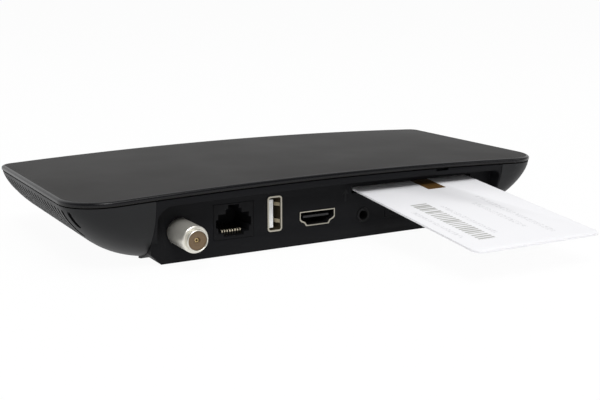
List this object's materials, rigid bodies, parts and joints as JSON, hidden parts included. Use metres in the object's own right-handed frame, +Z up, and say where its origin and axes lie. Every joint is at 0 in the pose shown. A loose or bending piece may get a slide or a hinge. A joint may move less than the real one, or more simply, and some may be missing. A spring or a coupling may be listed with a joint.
{
  "type": "satellite receiver",
  "caption": "Slim satellite TV receiver: crowned top cover over a boat-shaped vented shell, recessed connector panel at the back and a smart card that slides in its slot.",
  "frame": {"origin": "middle of the flat underside of the lower shell, at mid width and mid depth of the top cover", "axes": "+Z up, +Y out of the connector side, +X towards the end with the vent slots"},
  "size_m": [0.199, 0.1597, 0.0277],
  "materials": {
    "cover": "satin, fine grain",
    "shell": "satin, fine grain",
    "panel": "fine grain",
    "window": "polished, infrared red-black",
    "clear_guide": "clear acrylic",
    "foot_rubber": "matt",
    "screw_steel": "zinc plated",
    "circuit_board": "green solder mask",
    "tinned_steel": "tinned sheet",
    "nickel": "satin nickel",
    "insulator": "moulded",
    "contact_gold": "gold flash",
    "socket_black": "moulded",
    "tongue_white": "moulded",
    "reader_black": "moulded",
    "stand_natural": "moulded",
    "chip_black": "moulded epoxy",
    "pad_grey": "soft filled silicone",
    "sink_aluminium": "anodised",
    "can_sleeve": "shrunk sleeve",
    "ferrite": "sintered",
    "lamp_lens": "moulded lens",
    "card_plastic": "laminated, satin"
  },
  "bodies": {
    "receiver": {"top_cover": "cover", "lower_shell": "shell", "rear_panel": "panel", "front_window": "window", "light_pipe": "clear_guide", "rubber_feet": "foot_rubber", "case_screws": "screw_steel", "main_board": "circuit_board", "tuner_shield": "tinned_steel", "tuner_lid": "tinned_steel", "coax_body": "nickel", "coax_insulator": "insulator", "coax_contact": "contact_gold", "net_housing": "socket_black", "net_contacts": "contact_gold", "net_transformer": "chip_black", "usb_shell": "tinned_steel", "usb_tongue": "tongue_white", "usb_contacts": "contact_gold", "hdmi_shell": "tinned_steel", "hdmi_tongue": "socket_black", "hdmi_contacts": "contact_gold", "jack_body": "socket_black", "jack_springs": "contact_gold", "power_body": "socket_black", "power_pin": "screw_steel", "reader_stand": "stand_natural", "reader_board": "circuit_board", "board_header": "socket_black", "reader_base": "reader_black", "reader_cover": "tinned_steel", "reader_contacts": "contact_gold", "processor": "chip_black", "thermal_pad": "pad_grey", "heat_sink": "sink_aluminium", "memory_chips": "chip_black", "flash_chip": "chip_black", "capacitors": "can_sleeve", "inductors": "ferrite", "crystal": "tinned_steel", "infrared_receiver": "chip_black", "status_led": "lamp_lens"},
    "card": {"smart_card": "card_plastic", "card_chip": "contact_gold"}
  },
  "joints": [
    {"name": "card_slide", "type": "slide", "parent": "receiver", "child": "card", "axis": [0, 0.9947, -0.1028], "range_m": [-0.0283, 0.013]}
  ]
}
